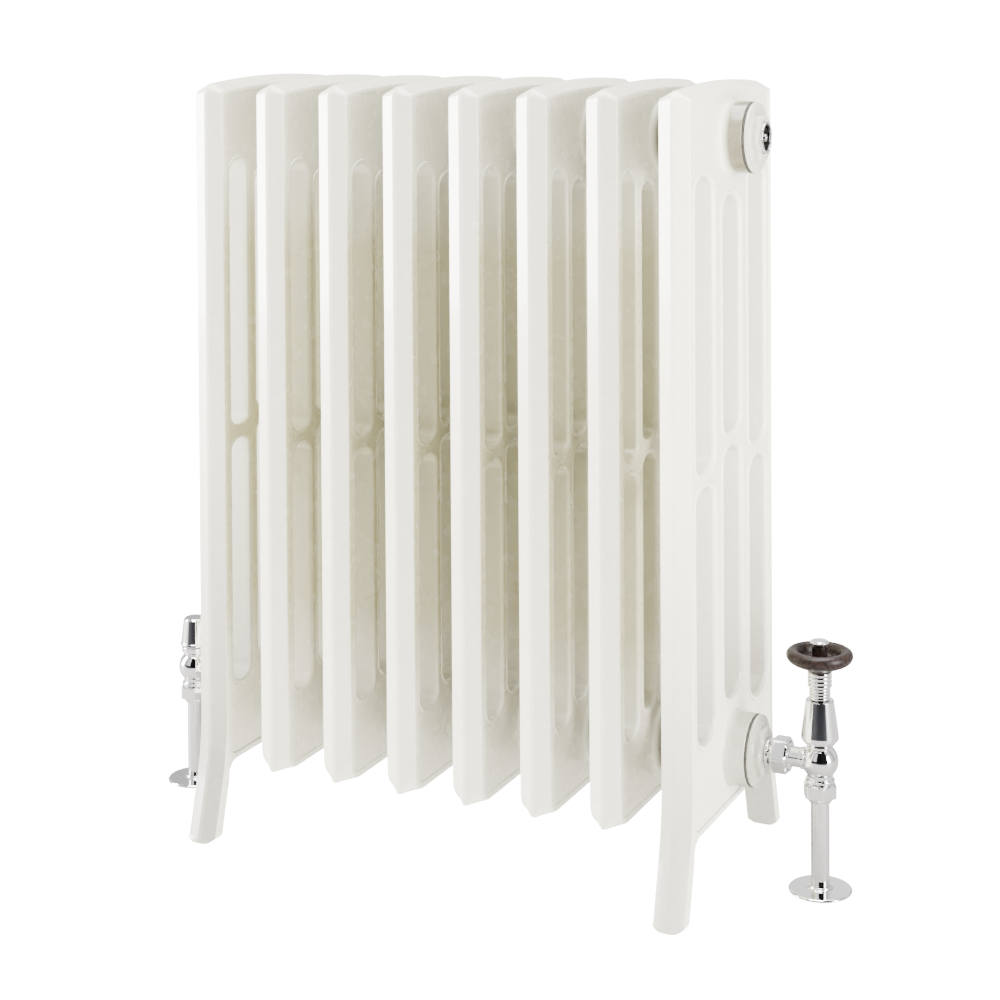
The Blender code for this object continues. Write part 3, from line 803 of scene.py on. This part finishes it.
def place_castings():
    """The right end casting has three wide slots, and all the others have four narrow ones."""
    middle_mesh = casting_mesh("casting", False, NARROW_SLOTS)
    meshes = {f"mid_section_{i}": middle_mesh for i in range(1, 7)}
    left = casting_mesh("casting_left", True, NARROW_SLOTS)
    right = casting_mesh("casting_right", True, WIDE_SLOTS)
    meshes = {"end_section_left": left, **meshes, "end_section_right": right}
    for number, (node, mesh) in enumerate(meshes.items(), 1):
        piece(f"casting_{number}", mesh, PAINT, node, Matrix.Translation((middle(node).x, 0, 0)))


# ---------------------------------------------------------------- end fittings


def place_gasket(where, side, z):
    node = f"bush_gasket_{where}"
    near = min(abs(end.x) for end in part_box(node))
    ring = from_base(near, [(20.5, 0), (28.6, 0, 0.4), (28.9, 0.6, 0.4), (28.6, 1.2), (20.5, 1.2)])
    shape = spun(rounded(ring), 96, closed=True)
    piece(f"gasket_{where}", shape, RUBBER, node, along_x(z, side))


def place_bush(where, side, z, bore):
    """A bushing: round flange with a raised step, then a chamfered hexagon round the bore."""
    flange = HUB_END + 1.8 * MM
    spigot = [(17, -14), (18.8, -14, 0.5), (18.8, 0, 0.2), (28.5, 0, 0.7)]
    spigot += [(28.5, 2.6, 1.1), (24.6, 3.0, 0.8), (23.9, 3.7, 0.6), (19.8, 3.9)]
    flats = 35.5
    wide = across_corners(flats)
    face = [(wide, -1.6, 0.6), (flats / 2 - 0.4, 0, 0.7)]
    face += [(6, 0)] if bore is None else [(bore, 0, 0.7), (bore, -12)]
    hexagon = from_base(flange, [(wide, 1)]) + from_base(BUSH_FACE, face)
    head = spun(rounded(hexagon), 96, flats=flats * MM)
    shape = joined(spun(rounded(from_base(flange, spigot)), 96), head)
    node = f"blank_plug_{where}" if bore is None else f"end_bush_{where}"
    piece(f"bushing_{where}", shape, BUSH_PAINT, node, along_x(z, side))


def place_end_fittings():
    ends = (
        ("bottom_right", RIGHT, HUB_BOTTOM, 10.6),
        ("bottom_left", LEFT, HUB_BOTTOM, 10.6),
        ("top_right", RIGHT, HUB_TOP, 13),
        ("top_left", LEFT, HUB_TOP, None),
    )
    for where, side, z, bore in ends:
        place_gasket(where, side, z)
        place_bush(where, side, z, bore)


def place_vent():
    """The chrome cup with its rolled rim, and the square-headed bleed screw inside it."""
    front, floor = high("vent_body").x, low("vent_body").x + 7 * MM
    cup = from_base(floor, [(3.4, -6), (12.6, -6)])
    cup += from_base(front, [(12.6, 0, 0.9), (10.9, 0, 0.8), (10.7, -1.6, 0.4), (10.2, -2.0, 0.3)])
    cup += from_base(floor, [(10.0, 0, 0.8), (6.2, 0, 0.3), (5.6, -1.2, 0.3), (3.4, -1.2)])
    hole = from_base(0, [(0.9, 0), (0.9, 0.4), (1.4, 0.5, 0.2), (1.5, 0)])
    spout = Matrix.Translation((0, -7.9 * MM, floor))
    shape = joined(spun(rounded(cup), 96, closed=True), (spun(rounded(hole), 24, closed=True), spout))
    place = along_x(HUB_TOP)
    piece("air_vent", shape, VENT_CHROME, "vent_body", place)

    base, top = low("vent_screw").x, high("vent_screw").x
    shank = from_base(base, [(2.4, 0), (3, 0.6)]) + from_base(floor, [(3, 0.5)])
    head = from_base(floor, [(3.2, -0.4), (4.3, 0.4)])
    head += from_base(top, [(4.3, -0.9, 0.3), (3.0, 0, 0.3), (1.4, 0, 0.1), (1.2, -0.5)])
    shape = joined(spun(rounded(shank), 32), spun(rounded(head), 64, flats=6 * MM, corners=4))
    piece("bleed_screw", shape, CHROME, "vent_screw", place, body="vent_screw")


# ---------------------------------------------------------------- valves


def place_union(side, prefix):
    """The tail's shoulder and collar, and the hexagonal union nut with its open mouth."""
    face = BUSH_FACE + 0.3 * MM
    nut_low, nut_high = sorted(abs(end.x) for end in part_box(f"{prefix}_union_nut"))
    neck = [(11.8, -2.3, 0.6), (10.4, -1.9, 0.3), (8.2, -1.7, 0.3), (8.2, 3.2), (WATERWAY, 3.2)]
    tail = from_base(face, [(WATERWAY, -10), (9.9, -10, 0.4), (9.9, 0, 0.1), (11.8, 0, 0.5)])
    tail += from_base(nut_low, neck)
    place = along_x(HUB_BOTTOM, side)
    shape = spun(rounded(tail), 80, closed=True)
    piece(f"{prefix}_tailpiece", shape, CHROME, f"{prefix}_tail", place)

    flats = 26.5
    wide = across_corners(flats)
    nut = from_base(nut_low, [(8.7, 2.6), (8.7, 0, 0.3), (12.5, 0, 0.5), (wide, 1.7, 0.5)])
    nut += from_base(nut_high, [(wide, -1.7, 0.5), (12.6, 0, 0.5), (11.4, 0, 0.4), (10.9, -2.4, 0.2)])
    nut += from_base(nut_low, [(10.9, 2.6)])
    shape = spun(rounded(nut), 96, closed=True, flats=flats * MM)
    piece(f"{prefix}_coupling_nut", shape, CHROME, f"{prefix}_union_nut", place)


def place_valve_body(side, prefix):
    """The ball body with its lower ring and grooves, its top neck, and its spigot to the union."""
    ball, neck, top_neck = 14.8 * MM, 10.5 * MM, 9.8 * MM
    start, end = -math.acos(neck / ball), math.acos(top_neck / ball)
    stem = [(9.5, 78.5), (9.5, 86.4, 0.2), (11.3, 87.2, 0.4), (11.8, 88, 0.6), (11.8, 89.6, 0.7)]
    stem += [(10.2, 90.6, 0.5), (10.2, 91.6, 0.5), (11.2, 92.4, 0.4)]
    outside = rounded(from_base(0, stem))[:-1] + arc((0, HUB_BOTTOM), ball, start, end, 28)
    outside += [(top_neck, 126 * MM), (9.2 * MM, 126.5 * MM)]
    spigot = [(8.6, 8), (8.9, 12.6, 0.4), (8.9, 14.7, 0.6), (8.0, 15.4, 0.4), (8.0, 24.3, 0.3)]
    spigot += [(10.5, 24.3, 0.3), (10.5, 32.1, 0.3), (WATERWAY, 32.1)]
    arm = spun(rounded(from_base(0, spigot)), 64)
    shape = joined(spun(outside, 80), (arm, along_x(HUB_BOTTOM, LEFT)))
    piece(f"{prefix}_ball_body", shape, CHROME, f"{prefix}_body", upright(side))


def place_pipe(side, prefix, pipe):
    """Compression nut, pipe and floor plate."""
    flats = 24.6
    wide = across_corners(flats)
    nut = [(8.0, 75.5), (8.0, 71.6, 0.3), (9.2, 71.6, 0.5), (10.4, 74.2, 0.8), (wide, 75.6, 0.5)]
    nut += [(wide, 85.2, 0.5), (10.8, 86.7, 0.4), (9.9, 86.7, 0.2), (9.9, 75.5)]
    shape = spun(rounded(from_base(0, nut)), 96, closed=True, flats=flats * MM)
    place = upright(side)
    tightened = place @ Matrix.Rotation(NUT_TURN, 4, "Z")
    piece(f"{prefix}_pipe_nut", shape, CHROME, f"{prefix}_compression_nut", tightened)

    top = from_base(high(f"{pipe}_pipe").z, [(7.5, 0, 0.3), (WATERWAY, 0, 0.3)])
    tube = from_base(0, [(WATERWAY, 0), (7.5, 0)]) + top + from_base(0, [(WATERWAY, 0.01)])
    shape = spun(rounded(tube)[:-1], 64, closed=True)
    piece(f"{pipe}_tube", shape, CHROME, f"{pipe}_pipe", place)

    plate = [(7.8, 0), (25.2, 0, 0.3), (25.5, 1.2, 0.8), (24.5, 2.2, 0.8)]
    plate += [(10.5, 2.5, 1.2), (9.0, 3.2, 0.7), (8.7, 4.3, 0.6), (7.8, 4.6)]
    shape = spun(rounded(from_base(0, plate)), 96, closed=True)
    piece(f"{pipe}_rose", shape, CHROME, f"{pipe}_floor_plate", place)


def ribs(radius, start, end, count, depth):
    """A stack of rounded ribs as (radius, height) points."""
    pitch = (end - start) / count
    points = []
    for i in range(count):
        for k, out in ((0.0, -1.0), (0.18, -0.35), (0.34, 0.0), (0.66, 0.0), (0.82, -0.35)):
            points.append((radius + out * depth, start + (i + k) * pitch))
    points.append((radius - depth, end))
    return points


def place_wheel_head():
    """Tapered bonnet, two ribbed collars, the turned wheel and its chrome cap."""
    place = upright()
    base, top = low("valve_bonnet").z, high("valve_bonnet").z
    bonnet = from_base(base, [(10.1, 0), (10.7, 0, 0.3), (11.0, 0.6, 0.3), (15.1, 5.4, 1.2), (15.1, 8.2, 3)])
    bonnet += from_base(top, [(11.3, -0.4, 0.5), (10.6, 0, 0.4), (6.3, 0, 0.2), (6.3, -3), (STEM_HOLE, -8)])
    bonnet += from_base(base, [(STEM_HOLE, 12), (10.1, 12)])
    shape = spun(rounded(bonnet), 96, closed=True)
    piece("valve_headwork", shape, CHROME, "valve_bonnet", place)

    skirt_low, skirt_high = low("wheel_skirt").z, high("wheel_skirt").z
    gland = from_base(top, [(STEM_HOLE, 0.3), (7.6, 0.3)])
    gland += ribs(8.6 * MM, top + 0.5 * MM, skirt_low, 4, 0.55 * MM)
    gland += from_base(skirt_low, [(8.3, 1), (8.3, 6), (STEM_HOLE, 6)])
    piece("lower_collar", spun(gland, 80, closed=True), CHROME, "valve_gland", place)

    skirt = from_base(skirt_low, [(8.8, 0)]) + ribs(9.8 * MM, skirt_low, skirt_high, 4, 0.6 * MM)
    skirt += from_base(skirt_high, [(STEM_HOLE, 0), (STEM_HOLE, -4), (8.8, -4)])
    shape = spun(skirt, 80, closed=True)
    piece("upper_collar", shape, CHROME, "wheel_skirt", place, body="handwheel")

    foot, crown = low("handwheel").z, high("handwheel").z
    underside = [(11.0, 1.6), (14.6, 3.0), (19.6, 4.9), (24.2, 7.4)]
    rim = [(26.6, 11.2), (26.0, 14.8), (23.5, 16.8), (20.8, 17.0), (18.0, 15.8)]
    dish = [(16.1, 13.2), (15.0, 10.6), (13.0, 8.9), (9.6, 8.3), (7.2, 8.6), (6.2, 10.2), (6.1, 14.0)]
    wheel = from_base(foot, [(STEM_HOLE, 14), (STEM_HOLE, 0), (9.9, 0), (10.4, 0.6)])
    wheel += smooth_curve(from_base(foot, underside + rim + dish))
    wheel += from_base(crown, [(6.1, -0.3), (5.8, 0)])
    piece("turned_wheel", spun(wheel, 96), WALNUT, "handwheel", place, body="handwheel")

    cap = from_base(low("wheel_cap").z, [(4.8, 0), (5.4, 0, 0.2), (7.5, 2.2, 0.5), (7.5, 3.2, 0.6)])
    cap += from_base(high("wheel_cap").z, [(6.3, -0.2, 0.8), (2.5, 0)])
    piece("wheel_button", spun(rounded(cap), 80), CHROME, "wheel_cap", place, body="handwheel")


def place_lockshield_head():
    """Bonnet with its collar, the square key spindle, and the tapered cap over them."""
    place = upright(LEFT)
    base, top = low("lockshield_bonnet").z, high("lockshield_bonnet").z
    collar = [(10.1, 0), (10.8, 0, 0.3), (12.2, 1.4, 0.6), (12.2, 5.8, 0.6)]
    neck = [(11.4, 6.3, 0.2), (11.4, 12.4, 0.4), (6.2, 14.6, 0.6)]
    bonnet = from_base(base, collar + neck) + from_base(top, [(6.0, 0, 0.5), (STEM_HOLE, 0)])
    bonnet += from_base(base, [(STEM_HOLE, 11.5), (10.1, 11.5)])
    shape = spun(rounded(bonnet), 80, closed=True)
    piece("lockshield_headwork", shape, CHROME, "lockshield_bonnet", place)

    node = "lockshield_spindle"
    shank = from_base(low(node).z, [(3, 0)]) + from_base(top, [(3, 0.4), (2.8, 0.6)])
    key = from_base(top, [(3.9, 0.3)]) + from_base(high(node).z, [(3.9, -0.8, 0.2), (2.6, 0)])
    shape = joined(spun(rounded(shank), 32), spun(rounded(key), 48, flats=5.5 * MM, corners=4))
    piece("key_spindle", shape, BRASS, node, place, body=node)

    node = "lockshield_cap"
    under, over = low(node).z, high(node).z
    mouth = [(8.5, 8.6, 0.5), (11.9, 7.4, 0.5), (11.9, 0, 0.2), (12.8, 0, 0.4)]
    flare = [(13.4, 0.9, 0.5), (13.2, 2.6, 0.4), (12.7, 3.1, 0.2)]
    cap = from_base(over, [(7.4, -3)]) + from_base(under, mouth + flare)
    cap += from_base(over, [(10.4, -1.6, 0.8), (9.0, 0, 0.9), (4.0, 0)])
    piece("lockshield_cover", spun(rounded(cap), 96), CHROME, node, place, body=node)


def paint_kept_nodes():
    """Nodes whose CAD shape stays in view get the procedural finishes."""
    finishes = {"nipple": STEEL, "olive": BRASS, "spindle": BRASS, "washer": RUBBER, "lockshield_plug": BRASS}
    for name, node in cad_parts.items():
        for word, material in finishes.items():
            if word in name:
                node.data.materials.clear()
                node.data.materials.append(material)


# ---------------------------------------------------------------- studio

# The camera.
VIEW_YAW = math.radians(25.08)
VIEW_PITCH = math.radians(-1.15)
VIEW_ROLL = math.radians(-0.35)
VIEW_FROM = (0.7789, -1.6284, 0.7184)
LENS = 76.57
SENSOR = 36.0
FRONT_DROP = 0.4674

# The floor glows for the camera, less for the object, and least in mirrors. Mirrors also see it darker, and
# black on the camera's side past a given distance: a painted reflection of an unlit room.
FLOOR_RADIUS = 400.0
FLOOR_GLOW = 18.0
FLOOR_BOUNCE = 1.7
FLOOR_MIRRORED = 0.3
MIRROR_DARK_NEAR = 0.85
MIRROR_DARK_FAR = 100.0
PAPER = (0.9, 0.9, 0.9)
MIRRORED_PAPER = (0.26, 0.245, 0.235)
UNLIT = (0.01, 0.01, 0.012)

# The room seen in mirrors, in heading from the camera's side and in height, with its bright pane.
ROOM_ACROSS = (-1.17, 0.72)
ROOM_UP = (-0.6, 0.97)
PANE_ACROSS = (-1.17, -0.54)
PANE_UP = (0.14, 0.83)
ROOM_LIGHT = 1.7
ROOM_DIM = 0.02
ROOM_BANDS = 7.0
BAND_DIM = 0.45
ROOM_TINT = (1.0, 1.0, 1.0)
WORLD_TINT = (1.0, 0.96, 0.82)
WORLD_LIGHT = 0.3


def towards_camera(nodes, links, output):
    """Turned coordinates, their height, and their heading with zero on the camera's side."""
    coordinates = nodes.new("ShaderNodeTexCoord")
    turned = nodes.new("ShaderNodeVectorRotate")
    turned.rotation_type = "Z_AXIS"
    turned.inputs["Angle"].default_value = math.pi / 2 - VIEW_YAW
    links.new(coordinates.outputs[output], turned.inputs["Vector"])
    parts = nodes.new("ShaderNodeSeparateXYZ")
    links.new(turned.outputs["Vector"], parts.inputs["Vector"])
    heading = math_node(nodes, links, "ARCTAN2", parts.outputs["Y"], parts.outputs["X"])
    return turned.outputs["Vector"], parts.outputs["Z"], heading


def place_floor():
    """A very wide pale floor, so that no horizon shows."""
    bm = bmesh.new()
    bmesh.ops.create_circle(bm, cap_ends=True, radius=FLOOR_RADIUS, segments=64)
    mesh = mesh_from(bm, "studio_floor")
    floor = added("studio_floor", mesh)
    material, nodes, links, shader = new_material("pale_floor")
    turned, _, heading = towards_camera(nodes, links, "Object")
    away = length(nodes, links, turned)
    paths = nodes.new("ShaderNodeLightPath")
    # Painted reflection: mirror rays see the floor black here, and darker everywhere.
    unlit = window(nodes, links, heading, away, *ROOM_ACROSS, MIRROR_DARK_NEAR, MIRROR_DARK_FAR)
    mirrored = paths.outputs["Is Glossy Ray"]
    unlit = product(nodes, links, unlit, mirrored)
    paper = blend(nodes, links, mirrored, PAPER, MIRRORED_PAPER)
    links.new(blend(nodes, links, unlit, paper, UNLIT), shader.inputs["Base Color"])
    shader.inputs["Roughness"].default_value = 0.6
    shader.inputs["Specular IOR Level"].default_value = 0.1
    shader.inputs["Emission Color"].default_value = (1.0, 1.0, 1.0, 1.0)
    seen = product(nodes, links, paths.outputs["Is Camera Ray"], FLOOR_GLOW - FLOOR_BOUNCE)
    seen = math_node(nodes, links, "ADD", seen, FLOOR_BOUNCE)
    dimmed = product(nodes, links, mirrored, FLOOR_MIRRORED - FLOOR_BOUNCE)
    seen = math_node(nodes, links, "ADD", seen, dimmed)
    lit = math_node(nodes, links, "SUBTRACT", 1.0, unlit)
    links.new(product(nodes, links, seen, lit), shader.inputs["Emission Strength"])
    mesh.materials.append(material)


def window(nodes, links, heading, height, left, right, bottom, top):
    """One inside a soft-edged rectangle of directions, and zero outside it."""
    soft = 0.04
    sides = (
        spread(nodes, links, heading, 0, 1, source=(left - soft, left + soft)),
        spread(nodes, links, heading, 1, 0, source=(right - soft, right + soft)),
        spread(nodes, links, height, 0, 1, source=(bottom - soft, bottom + soft)),
        spread(nodes, links, height, 1, 0, source=(top - soft, top + soft)),
    )
    return product(nodes, links, *sides)


def place_world():
    """Soft warm light all round. Shiny surfaces mirror a room in its place.

    The room's walls have light and dark bands. Behind the camera it is dark, but for a pane.
    """
    world = bpy.data.worlds.new("studio")
    bpy.context.scene.world = world
    world.use_nodes = True
    nodes, links = world.node_tree.nodes, world.node_tree.links
    background = nodes["Background"]
    _, height, heading = towards_camera(nodes, links, "Generated")
    room = window(nodes, links, heading, height, *ROOM_ACROSS, *ROOM_UP)
    pane = window(nodes, links, heading, height, *PANE_ACROSS, *PANE_UP)
    dark = math_node(nodes, links, "SUBTRACT", room, pane)
    bands = math_node(nodes, links, "SINE", product(nodes, links, heading, ROOM_BANDS), 0)
    banded = spread(nodes, links, bands, BAND_DIM, 1.0, source=(-1, 1))
    mirrored = product(nodes, links, dark, ROOM_DIM - ROOM_LIGHT)
    mirrored = math_node(nodes, links, "ADD", mirrored, ROOM_LIGHT)
    paths = nodes.new("ShaderNodeLightPath")
    glossy, camera = paths.outputs["Is Glossy Ray"], paths.outputs["Is Camera Ray"]
    strength = product(nodes, links, glossy, mirrored, banded)
    glow = product(nodes, links, camera, FLOOR_GLOW)
    rest = math_node(nodes, links, "ADD", glossy, camera)
    rest = math_node(nodes, links, "SUBTRACT", 1.0, rest)
    links.new(blend(nodes, links, rest, ROOM_TINT, WORLD_TINT), background.inputs["Color"])
    rest = product(nodes, links, rest, WORLD_LIGHT)
    total = math_node(nodes, links, "ADD", math_node(nodes, links, "ADD", strength, glow), rest)
    links.new(total, background.inputs["Strength"])


def soft_light(name, location, target, width, height, power, only=()):
    """A soft box. Given pieces to light only, it falls on nothing else."""
    light = bpy.data.lights.new(name, "AREA")
    light.shape = "RECTANGLE"
    light.size, light.size_y = width, height
    light.energy = power
    lamp = added(name, light)
    lamp.location = location
    lamp.rotation_euler = (Vector(target) - Vector(location)).to_track_quat("-Z", "Y").to_euler()
    if only:
        group = bpy.data.collections.new(f"{name}_targets")
        for lit in only:
            group.objects.link(bpy.data.objects[lit])
        lamp.light_linking.receiver_collection = group


def place_camera():
    """A studio camera that stays level while its front drops to frame the object below it.

    The drop is held by the camera's rig, so another view of the object starts from a plain camera.
    """
    camera = bpy.data.cameras.new("camera")
    slope = FRONT_DROP * SENSOR / LENS
    stretch = math.hypot(1, slope)
    camera.lens = LENS * stretch
    camera.sensor_width = SENSOR
    camera.clip_start, camera.clip_end = 0.05, 1000.0
    view, rig = added("camera", camera), added("camera_rig", None)
    aim = Matrix.Rotation(VIEW_YAW, 4, "Z") @ Matrix.Rotation(math.pi / 2 + VIEW_PITCH, 4, "X")
    aim = Matrix.Translation(VIEW_FROM) @ aim @ Matrix.Rotation(VIEW_ROLL, 4, "Z")
    drop = Matrix.Identity(4)
    drop[1][2] = slope / stretch
    drop[2][2] = 1 / stretch
    view.parent = rig
    view.matrix_parent_inverse = aim @ drop
    bpy.context.scene.camera = view


def place_lights():
    soft_light("left", (-2.8, -0.9, 1.0), (0, 0, 0.35), 1.0, 2.4, 640)
    soft_light("right", (2.7, -0.7, 0.9), (0, 0, 0.35), 0.8, 1.6, 200)
    soft_light("top", (0.0, 0.0, 3.0), (0, 0, 0.3), 2.0, 3.0, 430)
    soft_light("end", (2.2, -2.0, 1.0), (0.2, 0, 0.35), 1.2, 2.0, 310, only=("casting_8",))


def main():
    place_castings()
    place_end_fittings()
    place_vent()
    for side, prefix, pipe in ((RIGHT, "valve", "supply"), (LEFT, "lockshield", "return")):
        place_union(side, prefix)
        place_valve_body(side, prefix)
        place_pipe(side, prefix, pipe)
    place_wheel_head()
    place_lockshield_head()
    paint_kept_nodes()
    place_floor()
    place_world()
    place_lights()
    place_camera()


main()
